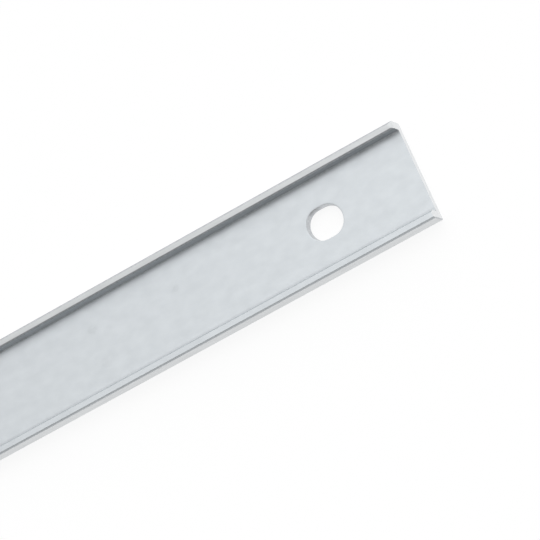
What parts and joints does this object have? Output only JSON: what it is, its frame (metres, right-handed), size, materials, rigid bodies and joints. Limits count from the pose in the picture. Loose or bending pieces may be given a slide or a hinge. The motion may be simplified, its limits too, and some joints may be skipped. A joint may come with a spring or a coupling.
{
  "type": "termination bar",
  "caption": "Long extruded aluminium strip with a raised lip along each edge and a row of obround slots; it clamps the edge of a membrane to a wall.",
  "frame": {"origin": "middle of the flat back, at half the bar's length and width", "axes": "+X along the bar to the sawn end with the slot close to it, +Y across the bar, +Z from the back towards the lips"},
  "size_m": [3.048, 0.0254, 0.0056],
  "materials": {
    "mill_aluminium": "satin mill finish with fine lines along the extrusion"
  },
  "bodies": {
    "root": {"termination_bar": "mill_aluminium"}
  },
  "joints": []
}
